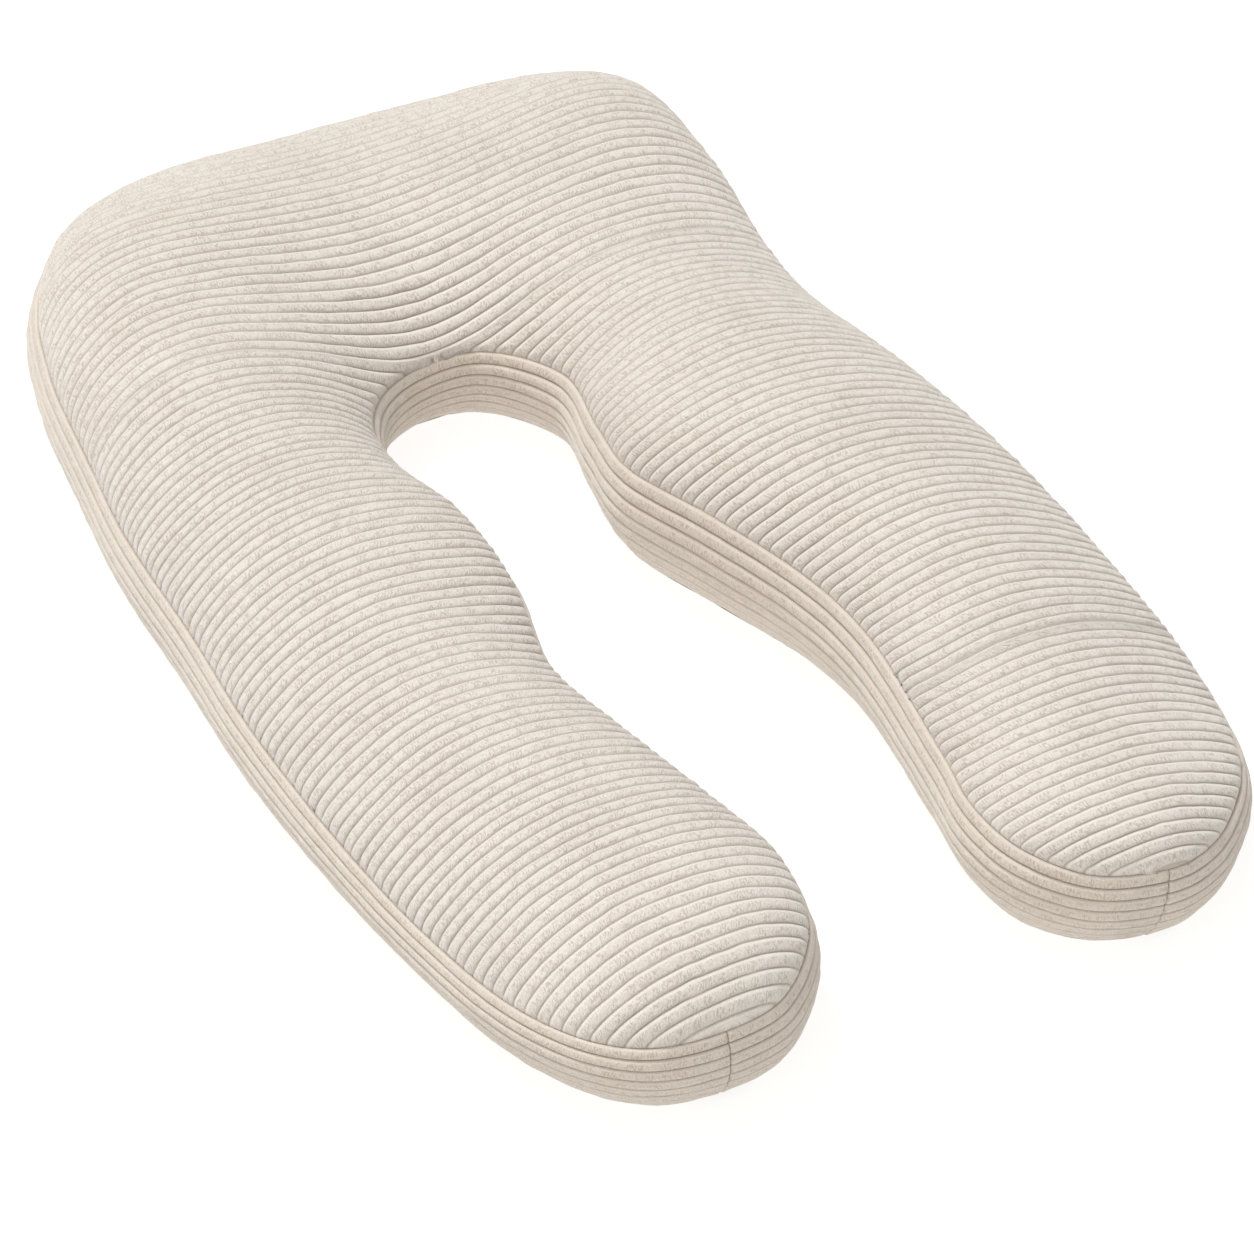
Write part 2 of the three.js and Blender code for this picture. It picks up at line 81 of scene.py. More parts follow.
# Rows of points across one wale, from its valley over its rounded crest
WALE_ROWS = (0.0, 0.08, 0.24, 0.5, 0.76, 0.92)

# Columns of points along a wale: those near a seam lie closer together
EDGE_COLUMNS = 12
EDGE_SPAN = 30
EDGE_POWER = 1.8
MIDDLE_COLUMNS = 34
ARCH_COLUMNS = 8

# Cloth tucked in at the seams
TUCK = 8
TUCK_SHARE = 0.02
SEAM_SINK = 3.0

# Hollows: how far each one spreads and how softly it starts at the seam
HOLLOW_SPREAD = 95
HOLLOW_START = 25

# Bottom panel, pressed flat where the pillow rests, with low wales and few points
BOTTOM_EDGE = 15
BOTTOM_RELIEF = 1.6
BOTTOM_TIP = 4
BOTTOM_COLUMNS = 24
BOTTOM_CROWDING = 0.7
BOTTOM_ROWS = (0.0, 0.12, 0.5, 0.88)

# Stitches of the joints: their number, places down the band, half length, lean and depth
STITCHES = 22
STITCH_START = 0.7
STITCH_MARGIN = 0.4
STITCH_REACH = 1.1
STITCH_LEAN = 0.008
STITCH_DEPTHS = (3.4, 2.4, 3.4)
THREAD_RADIUS = 0.3

# Steps of the seam line in each gap of its table: a quick one and a close one
COARSE_STEPS = 16
FINE_STEPS = 96

# Points worked on at once, so that the tables between points and line stay small
PART_SIZE = 2000

# Where the two lengths of side band are joined, at the end of each leg
JOINT_RIGHT = (250, -700)
JOINT_LEFT = (-236, -705)

# Middle of the footprint in the seam table's own axes
FOOTPRINT_MIDDLE = (2.7, 1.0)

# Seam between the top panel and the side band, from the arch to the back of the head.
# Columns: x right, y right, x left, y left, lift above the seam height
SEAM = (
    (-25, 320, -25, 320, -10),
    (35, 310, -85, 290, -5),
    (85, 230, -125, 225, 5),
    (70, 130, -135, 140, 15),
    (60, 45, -120, 50, 25),
    (95, -65, -125, -70, 30),
    (135, -185, -150, -195, 25),
    (145, -285, -135, -305, 25),
    (125, -470, -100, -460, 20),
    (115, -555, -85, -540, 15),
    (130, -625, -105, -630, 10),
    (180, -680, -170, -695, 0),
    (260, -700, -240, -705, -5),
    (305, -685, -305, -690, -10),
    (345, -655, -350, -650, -15),
    (400, -585, -390, -570, -20),
    (435, -440, -415, -435, -25),
    (440, -260, -430, -280, -20),
    (430, -95, -435, -100, -10),
    (405, 70, -425, 50, -5),
    (375, 220, -415, 215, -5),
    (380, 350, -395, 340, -5),
    (395, 465, -370, 475, -5),
    (380, 605, -330, 585, 0),
    (280, 670, -260, 665, 0),
    (150, 695, -150, 705, 0),
    (-10, 700, -10, 700, 5),
)

# Soft hollows and rises of the head and the legs. Columns: x, y, rise, shift of the wales along Y
HOLLOWS = (
    (-320, 340, 5, 15),
    (-170, 340, -10, -10),
    (0, 340, -20, -10),
    (170, 340, -15, -5),
    (320, 340, -25, 0),
    (-320, 470, 10, 10),
    (-170, 470, -10, 0),
    (0, 470, -20, -10),
    (170, 470, -15, 0),
    (320, 470, 5, 10),
    (-320, 600, 20, 10),
    (-170, 600, 5, -15),
    (0, 600, -20, 0),
    (170, 600, -20, 0),
    (320, 600, 0, 15),
    (-360, -560, 0, 15),
    (-360, -360, 0, 15),
    (-360, -160, 0, 15),
    (-360, 40, 0, 20),
    (-190, -360, 0, -15),
    (-190, -160, -20, -5),
    (190, -560, -15, -15),
    (190, -360, -15, -10),
    (190, -160, -5, -5),
    (360, -560, -15, 0),
    (360, -360, -10, -5),
    (360, -160, -5, 0),
)

# How far the wales are drawn towards the head, beside the legs and round their ends, where
# that starts and over what length, how far from the seam it reaches, and turns to solve it
SIDE_PULL = 15
SIDE_PULL_START = 250
END_PULL = 7
END_PULL_START = -470
PULL_SPAN = 150
PULL_REACH = 20
PULL_TURNS = 7

# Unevenness of the plush: each one's size and the length along a wale that it varies over
CREST_SWELL = 0.6
CREST_SWELL_LENGTH = 17
WANDER = 1.2
WANDER_LENGTH = 55
FRAY = 0.6
FRAY_LENGTH = 15
VALLEY_CHANGE = 0.3
VALLEY_CHANGE_LENGTH = 32

# Seeds of that unevenness, and steps through its random values from wale to wale
WANDER_SEED = 11
FRAY_SEED = 14
PANEL_SWELL_SEED = 12
PANEL_VALLEY_SEED = 13
BAND_SWELL_SEED = 21
BAND_VALLEY_SEED = 22
SWELL_STRIDE = 7.3
VALLEY_STRIDE = 3.7

# Linear colours of the plush: its crests, the darker colour of its fibre marks and of painted
# shade, and the painted shade lines along the middle of its valleys
CREST_COLOR = (0.865, 0.808, 0.742)
# Darker colour of the fibre marks, and of painted shade in the valleys and on the wale bodies
MARKS_AND_PAINTED_SHADE_COLOR = (0.52, 0.45, 0.375)
# Side band: darker copies of the panel's colours, painted shade on the band's sides
BAND_SHADED_CREST_COLOR = (0.79, 0.71, 0.625)
BAND_MARKS_AND_PAINTED_SHADE_COLOR = (0.51, 0.43, 0.345)
PAINTED_VALLEY_LINE_COLOR = (0.40, 0.31, 0.23)
PAINTED_VALLEY_LINE_STRENGTH = 0.48
THREAD_COLOR = (0.60, 0.54, 0.47)

# Noises of the plush: repeats in each wale, along and across it, then the detail
FIBRES = (9.0, 3.2, 2.0)
GRAIN = (22.0, 12.0)
TUFTS = (1.3, 0.9)
PATCHES = (0.16, 0.12)

# Limits of the noises between which the fibre marks and the tufts show
MARK_LIMITS = (0.44, 0.58)
TUFT_LIMITS = (0.36, 0.62)
BETWEEN_TUFTS = 0.35

# Parts of a wale, in wales from the middle of the valley, or from the painted highlight, which is
# a smooth bright edge on the far, upper side of each wale
BODY_LIMITS = (0.04, 0.18)
PAINTED_VALLEY_SHADE_LIMITS = (0.0, 0.17)
PAINTED_VALLEY_LINE_LIMITS = (0.0, 0.09)
PAINTED_HIGHLIGHT_LIMITS = (0.06, 0.2)
PANEL_PAINTED_HIGHLIGHT_EDGE = 0.87
BAND_PAINTED_HIGHLIGHT_EDGE = 0.13

# How much of the darker colour each part takes: the fibre marks, speckle and patches are the
# plush's own tone, the valleys and the body of each wale outside its painted highlight are
# painted shade
MARK_SHADE = 0.62
PAINTED_VALLEY_SHADE = 0.52
PAINTED_BODY_SHADE = 0.18
SPECKLE_SHADE = 1.3
PATCH_SHADE = 0.2

# Raised fibres of the plush: share of the grain in them, strength, height in metres
PILE_GRAIN = 0.4
PILE_STRENGTH = 0.8
PILE_HEIGHT = 0.0016

# Shader inputs of the plush and the floor
PLUSH_SURFACE = {
    "Roughness": 0.95,
    "Specular IOR Level": 0.15,
    "Sheen Weight": 0.65,
    "Sheen Roughness": 0.5,
    "Sheen Tint": (1.0, 0.99, 0.97, 1.0),
}
FLOOR_SURFACE = {
    "Base Color": (0.25, 0.245, 0.235, 1.0),
    "Roughness": 0.9,
    "Specular IOR Level": 0.1,
    "Emission Color": (1.0, 0.99, 0.975, 1.0),
    "Emission Strength": 0.85,
}

# Twisted thread of the joints: scale of its bands, and how light its dark side is
THREAD_TWIST = 900.0
THREAD_DARK_SIDE = 0.75
THREAD_ROUGHNESS = 0.8

# Floor, in metres
FLOOR_HALF = 20.0
FLOOR_DROP = 0.0005

# Studio light: sky brightness at the sides and overhead, the far key and fill lights
SKY_SIDE = 0.2
SKY_TOP = 0.70
SKY_TOP_FROM = 0.9
SKY_COLOR = (1.0, 0.985, 0.965, 1.0)
KEY_PLACE = (-0.25, 0.6, 1.35)
KEY_SPREAD = 16
KEY_STRENGTH = 1.8
FILL_PLACE = (-1.0, -0.6, 1.2)
FILL_SPREAD = 50
FILL_STRENGTH = 0.7

# Camera, fitted to the photograph
CAMERA_AZIMUTH = math.radians(-28.895)
CAMERA_ELEVATION = math.radians(39.952)
CAMERA_ROLL = math.radians(0.841)
CAMERA_DISTANCE = 10562
CAMERA_TARGET = (30.7, -11.0, -28.2)
PHOTO_SIZE = 1254
FOCAL_PIXELS = 10562
SENSOR_WIDTH = 36
CAMERA_REACH = 100


def lerp(a, b, t):
    return a + (b - a) * t


def in_parts(count):
    """Indices in parts of a limited size."""
    return np.array_split(np.arange(count), max(1, count // PART_SIZE))


def from_footprint(points):
    """Points in metres, measured from the middle of the footprint."""
    return (points - (*FOOTPRINT_MIDDLE, 0)) * MILLIMETRE


def smooth(t):
    c = np.clip(t, 0, 1)
    return c * c * (3 - 2 * c)


def value_noise(x, y, seed):
    """Smooth random values from -1 to 1, one for each unit of x and y."""
    size = 256
    table = np.random.default_rng(seed).uniform(-1, 1, (size, size))
    x0 = np.floor(x).astype(int)
    y0 = np.floor(y).astype(int)
    tx = smooth(x - x0)
    ty = smooth(y - y0)

    def corner(dx, dy):
        return table[(x0 + dx) % size, (y0 + dy) % size]

    low = lerp(corner(0, 0), corner(1, 0), tx)
    high = lerp(corner(0, 1), corner(1, 1), tx)
    return lerp(low, high, ty)


def seam_knots():
    right = [(xr, yr, SEAM_HEIGHT + lift) for xr, yr, _, _, lift in SEAM]
    left = [(xl, yl, SEAM_HEIGHT + lift) for _, _, xl, yl, lift in SEAM[1:-1]]
    return np.array(right + left[::-1], float)


def closed_spline(knots, steps):
    """Closed centripetal curve through the knots, counter-clockwise from the arch."""
    p0, p1, p2, p3 = (np.roll(knots, shift, axis=0) for shift in (1, 0, -1, -2))

    def gap(a, b):
        return np.sqrt(np.hypot(b[:, 0] - a[:, 0], b[:, 1] - a[:, 1]))[:, None]

    t1, t2, t3 = gap(p0, p1), gap(p1, p2), gap(p2, p3)
    m1 = ((p1 - p0) / t1 - (p2 - p0) / (t1 + t2) + (p2 - p1) / t2) * t2
    m2 = ((p2 - p1) / t2 - (p3 - p1) / (t2 + t3) + (p3 - p2) / t3) * t2
    square = -3 * p1 + 3 * p2 - 2 * m1 - m2
    cube = 2 * p1 - 2 * p2 + m1 + m2
    t = (np.arange(steps) / steps)[None, :, None]
    points = p1[:, None] + m1[:, None] * t + square[:, None] * t**2 + cube[:, None] * t**3
    return points.reshape(-1, 3)


def seam_pull(y, slope):
    """How far a wale is drawn towards the head at the seam; slope is how fast one leaves it."""
    beside_leg = smooth((SIDE_PULL_START - y) / PULL_SPAN)
    round_end = smooth((END_PULL_START - y) / PULL_SPAN)
    side = SIDE_PULL * (beside_leg - round_end / 2)
    return side + END_PULL * round_end * slope


class Outline:
    """A closed line seen from above, with the length along it."""

    def __init__(self, points, pulled=False):
        self.points = points
        self.count = len(points)
        ahead = np.roll(points, -1, axis=0)
        self.steps = np.hypot(*(ahead - points)[:, :2].T)
        self.middles = (points + ahead)[:, :2] / 2
        self.lengths = np.concatenate([[0], np.cumsum(self.steps)])
        self.whole = self.lengths[-1]
        self.rows = points[:, 1]
        if pulled:
            way = ahead - np.roll(points, 1, axis=0)
            slope = way[:, 0] / np.hypot(way[:, 0], way[:, 1])
            self.rows = points[:, 1] - seam_pull(points[:, 1], slope)

    def station(self, length):
        """Places on the line and the outward directions there."""
        s = np.mod(length, self.whole)
        low = np.searchsorted(self.lengths, s, side="right") - 1
        low = np.clip(low, 0, self.count - 1)
        t = ((s - self.lengths[low]) / self.steps[low])[:, None]

        def place(i):
            return lerp(self.points[i % self.count], self.points[(i + 1) % self.count], t)

        ahead = place(low + 1) - place(low - 1)
        size = np.hypot(ahead[:, 0], ahead[:, 1])
        out = np.stack([ahead[:, 1] / size, -ahead[:, 0] / size], axis=1)
        return place(low), out

    def nearest_length(self, x, y):
        square = (self.middles[:, 0] - x) ** 2 + (self.middles[:, 1] - y) ** 2
        i = int(np.argmin(square))
        a, b = self.points[i], self.points[(i + 1) % self.count]
        along = ((x - a[0]) * (b[0] - a[0]) + (y - a[1]) * (b[1] - a[1])) / self.steps[i] ** 2
        return self.lengths[i] + np.clip(along, 0, 1) * self.steps[i]

    def crossings(self, y):
        """Points where the line crosses a row of the cloth, from left to right."""
        ys = self.rows
        ahead = np.roll(ys, -1)
        found = []
        for i in np.nonzero((ys <= y) != (ahead <= y))[0]:
            t = (y - ys[i]) / (ahead[i] - ys[i])
            found.append(lerp(self.points[i], self.points[(i + 1) % self.count], t))
        return sorted(found, key=lambda p: p[0])

    def rise(self, x, y):
        """Distance to the line, and how fast it grows along Y."""
        CLOSE = 3.0
        total = np.empty(len(x))
        slope_x = np.empty(len(x))
        slope_y = np.empty(len(x))
        for part in in_parts(len(x)):
            dx = self.middles[:, 0] - x[part, None]
            dy = self.middles[:, 1] - y[part, None]
            square = dx * dx + dy * dy + 1
            weight = self.steps / square
            total[part] = weight.sum(axis=1)
            slope_x[part] = (2 * dx * weight / square).sum(axis=1)
            slope_y[part] = (2 * dy * weight / square).sum(axis=1)
        softened = np.pi / total
        distance = np.sqrt(np.maximum(softened**2 - 1, 0))
        beside = -slope_y / np.hypot(slope_x, slope_y)
        further = -softened * slope_y / total * softened / np.maximum(distance, 1)
        return distance, np.where(softened < CLOSE, beside, further)

    def closeness(self, x, y):
        """Sum over the line that falls off with distance from it."""
        total = np.empty(len(x))
        for part in in_parts(len(x)):
            dx = self.middles[:, 0] - x[part, None]
            dy = self.middles[:, 1] - y[part, None]
            total[part] = (self.steps / (dx * dx + dy * dy + 1)).sum(axis=1)
        return total


# The seam line, with few points for places far from it and many for those near it
KNOTS = seam_knots()
COARSE_SEAM = Outline(closed_spline(KNOTS, COARSE_STEPS))
SEAM_LINE = Outline(closed_spline(KNOTS, FINE_STEPS), pulled=True)


def distance_to(coarse, fine, x, y):
    """Smooth distance to an outline; equal to the plain distance near it."""
    NEAR = 20
    distance = np.pi / coarse.closeness(x, y)
    near = distance < NEAR
    distance[near] = np.pi / fine.closeness(x[near], y[near])
    return np.sqrt(np.maximum(distance**2 - 1, 0))


def seam_level(x, y):
    """Height of the seam, carried inwards by nearness."""
    SOFTENING = 100
    FALL_OFF = 1.5
    SKIP = 4
    points = COARSE_SEAM.points[::SKIP]
    level = np.empty(len(x))
    for part in in_parts(len(x)):
        dx = points[:, 0] - x[part, None]
        dy = points[:, 1] - y[part, None]
        weight = (dx * dx + dy * dy + SOFTENING) ** -FALL_OFF
        level[part] = (weight * points[:, 2]).sum(axis=1) / weight.sum(axis=1)
    return level


def panel_surface(x, y):
    """Points of the top panel without its wales, and their distance to the seam."""
    distance = distance_to(COARSE_SEAM, SEAM_LINE, x, y)
    z = seam_level(x, y) + CROWN * (2 * distance / CROWN_REACH) ** CROWN_POWER
    soft = distance / (distance + HOLLOW_START)
    shift = np.zeros(len(x))
    for hollow_x, hollow_y, rise, move in HOLLOWS:
        square = (hollow_x - x) ** 2 + (hollow_y - y) ** 2
        share = np.exp(-square / (2 * HOLLOW_SPREAD**2)) * soft
        z += rise * share
        shift += move * share
    return np.stack([x, y + shift, z], axis=1), distance


def drawn_rows(x, row, start):
    """Places along Y of points of a row of the cloth, drawn towards the head near the seam."""
    NEAR = 6
    LARGEST_STEP = 0.6
    LEAST_STEEPNESS = 0.5
    y = start.copy()
    for _ in range(PULL_TURNS):
        distance, slope = COARSE_SEAM.rise(x, y)
        near = distance < NEAR
        distance[near], slope[near] = SEAM_LINE.rise(x[near], y[near])
        pull = seam_pull(y, slope) * np.exp(-distance / PULL_REACH)
        steepness = 1 + slope * pull / PULL_REACH
        change = (y - pull - row) / np.maximum(steepness, LEAST_STEEPNESS)
        y -= np.clip(change, -LARGEST_STEP * distance, LARGEST_STEP * distance)
    return y


def wale_height(phase):
    """Rounded height of a wale: 0 in its valley and 1 on its crest."""
    return np.sqrt(np.maximum(1 - (2 * phase - 1) ** 2, 0))


def rounded(t):
    """Rounded edge: 0 at its foot and 1 further in."""
    return np.sqrt(np.maximum(1 - (1 - np.clip(t, 0, 1)) ** 2, 0))


def crest_swell(along, wale, seed):
    return CREST_SWELL * value_noise(along / CREST_SWELL_LENGTH, wale * SWELL_STRIDE, seed)


def valley_depth(along, across, relief, seed):
    """Depth of the valleys, a little different along each one."""
    change = value_noise(along / VALLEY_CHANGE_LENGTH, np.round(across) * VALLEY_STRIDE, seed)
    return relief * (1 + VALLEY_CHANGE * change)


def panel_points(x, y, wale, phase):
    """Points of the top panel with its wales."""
    STEP = 0.04
    wander = WANDER * value_noise(x / WANDER_LENGTH, y / WANDER_LENGTH, WANDER_SEED)
    fray = FRAY * value_noise(x / FRAY_LENGTH, y / WALE_PITCH, FRAY_SEED)
    y = y + (wander + fray) * smooth(distance_to(COARSE_SEAM, SEAM_LINE, x, y) / EDGE_SPAN)
    place, distance = panel_surface(x, y)
    beside, _ = panel_surface(x + STEP, y)
    ahead, _ = panel_surface(x, y + STEP)
    normal = np.cross(beside - place, ahead - place)
    normal /= np.linalg.norm(normal, axis=1)[:, None]
    height = wale_height(phase) * rounded(distance / WALE_TIP)
    towards_end = smooth((END_PULL_START - y) / PULL_SPAN)
    towards_back = smooth((y - BACK_START) / BACK_SPAN)
    lowered = np.maximum(towards_end, towards_back)
    relief = WALE_RELIEF * lerp(1, END_RELIEF_SHARE, lowered)
    valley = valley_depth(x, wale + phase, relief, PANEL_VALLEY_SEED)
    swell = crest_swell(x, wale, PANEL_SWELL_SEED)
    depth = valley * (1 - height) - swell * height
    return place - normal * depth[:, None]


def section_points(place, out, share, depth):
    """Points of the band: share 0 is its top seam and 1 its bottom seam, depth is inward."""
    radius = BAND_WIDTH / (TOP_TILT - BOTTOM_TILT)
    tilt = lerp(TOP_TILT, BOTTOM_TILT, share)
    reach = radius * (np.cos(tilt) - np.cos(TOP_TILT)) - depth * np.cos(tilt)
    drop = np.sin(TOP_TILT) - np.sin(tilt)
    whole_drop = math.sin(TOP_TILT) - math.sin(BOTTOM_TILT)
    z = place[:, 2] - (place[:, 2] - FOOT_HEIGHT) * drop / whole_drop
    x = place[:, 0] + out[:, 0] * reach
    y = place[:, 1] + out[:, 1] * reach
    return np.stack([x, y, z - depth * np.sin(tilt)], axis=1)


# One area of the top panel: its rows, their ends on the seam and their stored indices
Area = namedtuple("Area", "rows ends stored")


class Cloth:
    """Collects points, faces and cloth coordinates of one piece."""

    def __init__(self):
        self.points = []
        self.maps = []
        self.faces = []
        self.count = 0

    def add(self, points, along, across):
        """Stores points and returns their indices; along and across count wales."""
        first = self.count
        self.points.append(points)
        self.maps.append(np.stack([along, across], axis=1))
        self.count += len(points)
        return np.arange(first, self.count)

    def strip(self, a, b):
        """Quads between two rows of the same length; b lies to the left of a."""
        quads = np.stack([a[:-1], a[1:], b[1:], b[:-1]], axis=1)
        self.faces.extend(self.distinct(quad) for quad in quads.tolist())

    def join_rows(self, rows, flipped=False):
        """Quads between each row and the next; flipped where that one lies to the right."""
        for row, following in zip(rows, rows[1:]):
            if flipped:
                self.strip(following, row)
            else:
                self.strip(row, following)

    @staticmethod
    def distinct(corners):
        return [c for i, c in enumerate(corners) if c not in corners[:i]]

    def mesh(self, name, material):
        mesh = bpy.data.meshes.new(name)
        points = from_footprint(np.concatenate(self.points))
        faces = [face for face in self.faces if len(face) > 2]
        mesh.from_pydata(points.tolist(), [], faces)
        corners = np.empty(len(mesh.loops), int)
        mesh.loops.foreach_get("vertex_index", corners)
        layer = mesh.uv_layers.new(name="cloth")
        layer.data.foreach_set("uv", np.concatenate(self.maps)[corners].ravel())
        mesh.shade_smooth()
        mesh.materials.append(material)
        piece = bpy.data.objects.new(name, mesh)
        bpy.context.scene.collection.objects.link(piece)
        return piece


def wale_rows(low, high, origin, phases=WALE_ROWS):
    """Rows between two heights, as place, wale and phase; a valley lies at the origin."""
    first = math.floor((low - origin) / WALE_PITCH)
    last = math.ceil((high - origin) / WALE_PITCH)
    rows = []
    for wale in range(first, last + 1):
        for phase in phases:
            y = origin + (wale + phase) * WALE_PITCH
            if low < y < high:
                rows.append((y, wale, phase))
    return rows


def across_at(row):
    """Place of a row across the cloth, counted in wales."""
    _, wale, phase = row
    return wale + phase


def crowd_back_rows(rows, high):
    """The rows, with the last wales set closer, because the cloth rises steeply there."""
    SAMPLES = 200
    first = rows[-1][1] - 1
    start = next(y for y, wale, phase in rows if wale == first and phase == 0.0)
    distances = np.linspace(high - start, 0, SAMPLES)
    lengths = np.hypot(distances, CROWN * (2 * distances / CROWN_REACH) ** CROWN_POWER)
    shares = 1 - lengths / lengths[0]
    spaced = [row for row in rows if row[0] < start]
    for wale in range(BACK_WALES):
        for phase in WALE_ROWS:
            share = (wale + phase) / BACK_WALES
            y = high - np.interp(share, shares, distances)
            if y < high - ROW_MARGIN:
                spaced.append((y, first + wale, phase))
    return spaced


def column_places(width, middle_columns=MIDDLE_COLUMNS, parts=3):
    """Distances of the columns from the left seam; those near a seam lie closer together.

    The close ones take up EDGE_SPAN beside each seam, but at most one of the parts of the row.
    """
    span = min(EDGE_SPAN, width / parts)
    edge = span * (np.arange(EDGE_COLUMNS) / EDGE_COLUMNS) ** EDGE_POWER
    middle = np.linspace(span, width - span, middle_columns + 1)
    return np.concatenate([edge, middle, width - edge[::-1]])


def head_columns(width, middle, share):
    """Columns over the head: in two halves beside the arch, and in one row further back."""
    right_half = middle + column_places(width - middle)[1:]
    halves = np.concatenate([column_places(middle), right_half])
    whole = column_places(width, len(halves) - 2 * EDGE_COLUMNS - 1, parts=2)
    return lerp(halves, whole, share)


def row_along(points, anchor):
    """Lengths along a row of points, counted in wales; the anchor point keeps its X."""
    steps = np.linalg.norm(np.diff(points, axis=0), axis=1)
    along = np.concatenate([[0], np.cumsum(steps)])
    return (along - along[anchor] + points[anchor, 0]) / WALE_PITCH


def sink_edge(outline, place):
    """The panel's edge, sunk into the seam behind the cloth."""
    length = outline.nearest_length(place[0], place[1])
    at, out = outline.station(np.array([length]))
    return section_points(at, out, 0.0, SEAM_SINK)[0]


def add_rows(cloth, outline, rows, ends, columns, anchor):
    """Adds the rows of one area of the top panel and returns their indices."""
    xs, ys, starts_y, wales, phases = [], [], [], [], []
    for (y, wale, phase), (left, right), places in zip(rows, ends, columns):
        inner = places[1:-1]
        xs.append(left[0] + inner)
        ys.append(np.full(len(inner), y))
        starts_y.append(lerp(left[1], right[1], inner / places[-1]))
        wales.append(np.full(len(inner), wale))
        phases.append(np.full(len(inner), phase))
    row_ends = np.cumsum([len(x) for x in xs])[:-1]
    xs, ys, starts_y, wales, phases = map(np.concatenate, (xs, ys, starts_y, wales, phases))
    legs = ys < SIDE_PULL_START
    ys[legs] = drawn_rows(xs[legs], ys[legs], starts_y[legs])
    inside = np.split(panel_points(xs, ys, wales, phases), row_ends)
    stored = []
    for row, (left, right), part in zip(rows, ends, inside):
        points = np.vstack([sink_edge(outline, left), part, sink_edge(outline, right)])
        across = np.full(len(points), across_at(row))
        at = {"left": 0, "middle": len(points) // 2, "right": len(points) - 1}[anchor]
        stored.append(cloth.add(points, row_along(points, at), across))
    return stored


def leg_ends(outline, rows, arch_x, side):
    """Ends of the rows over one leg, side 1 for the right one and -1 for the left one."""
    ends = []
    for y, _, _ in rows:
        found = [p for p in outline.crossings(y) if (p[0] - arch_x) * side > 0]
        ends.append((found[0], found[-1]))
    return ends


def seam_run(cloth, outline, start, end, count, across):
    """Adds sunk points along the seam between two lengths, the ends left out."""
    span = (end - start) % outline.whole
    lengths = start + span * np.arange(1, count) / count
    at, out = outline.station(lengths)
    points = section_points(at, out, 0.0, SEAM_SINK)
    return cloth.add(points, points[:, 0] / WALE_PITCH, np.full(len(points), across))


def add_cap(cloth, outline, row, from_end, to_end, across):
    """Closes the sliver between the last row and the seam; returns the seam's indices."""
    start = outline.nearest_length(*from_end[:2])
    end = outline.nearest_length(*to_end[:2])
    along = np.concatenate(cloth.maps)[row[1:-1], 0]
    middle = seam_run(cloth, outline, start, end, len(row) - 1, across)
    cloth.maps[-1][:, 0] = along
    run = np.concatenate([[row[0]], middle, [row[-1]]])
    cloth.strip(run, row)
    return run


def add_tuck(cloth, outline, lengths, indices):
    """Adds the cloth that turns in behind the seam, from the panel's edge in order."""
    at, out = outline.station(lengths)
    points = section_points(at, out, TUCK_SHARE, TUCK)
    inner = cloth.add(points, lengths / WALE_PITCH, np.zeros(len(points)))
    ring = np.append(inner, inner[0])
    edge = np.append(indices, indices[0])
    cloth.strip(ring, edge)


def arch_point(outline, steps):
    """Top of the arch between the legs; steps is the number of points in a gap of the line."""
    near = np.arange(-2 * steps, 2 * steps + 1)
    return outline.points[near[int(np.argmax(outline.points[near, 1]))]]


def lowest_row(outline, arch, side):
    """Lowest row of the cloth on one leg, side 1 for the right one and -1 for the left one."""
    return outline.rows[(outline.points[:, 0] - arch[0]) * side > 0].min()


def build_leg(cloth, outline, arch, side):
    """Top of one leg, side 1 for the right one and -1 for the left one."""
    low = lowest_row(outline, arch, side)
    origin = arch[1] - WALE_PITCH / 2
    rows = wale_rows(low + ROW_MARGIN, arch[1] - ROW_MARGIN, origin)
    ends = leg_ends(outline, rows, arch[0], side)
    columns = [column_places(right[0] - left[0]) for left, right in ends]
    anchor = "left" if side == 1 else "right"
    stored = add_rows(cloth, outline, rows, ends, columns, anchor)
    cloth.join_rows(stored)
    return Area(rows, ends, stored)


def build_head(cloth, outline, arch):
    """Top of the head, from the arch to the seam at its back; a crest lies on the arch."""
    high = outline.points[:, 1].max()
    origin = arch[1] - WALE_PITCH / 2
    rows = wale_rows(arch[1] - ROW_MARGIN, high - ROW_MARGIN, origin)
    rows = crowd_back_rows(rows, high)
    ends = []
    columns = []
    for y, _, _ in rows:
        found = outline.crossings(y)
        left, right = found[0], found[-1]
        share = smooth((y - arch[1]) / HEAD_BLEND)
        ends.append((left, right))
        columns.append(head_columns(right[0] - left[0], arch[0] - left[0], share))
    stored = add_rows(cloth, outline, rows, ends, columns, "middle")
    cloth.join_rows(stored)
    return Area(rows, ends, stored)


def join_at_arch(cloth, outline, right_leg, left_leg, head):
    """Joins the legs to the head, and returns the panel's edge over the arch."""
    first = head.stored[0]
    middle = len(left_leg.stored[-1]) - 1
    cloth.strip(left_leg.stored[-1], first[: middle + 1])
    cloth.strip(right_leg.stored[-1], first[middle:])
    start = outline.nearest_length(*left_leg.ends[-1][1][:2])
    end = outline.nearest_length(*right_leg.ends[-1][0][:2])
    run = seam_run(cloth, outline, start, end, ARCH_COLUMNS, across_at(head.rows[0]))
    fan = [left_leg.stored[-1][-1], *run, right_leg.stored[-1][0]]
    for a, b in zip(fan, fan[1:]):
        cloth.faces.append([a, b, first[middle]])
    return fan


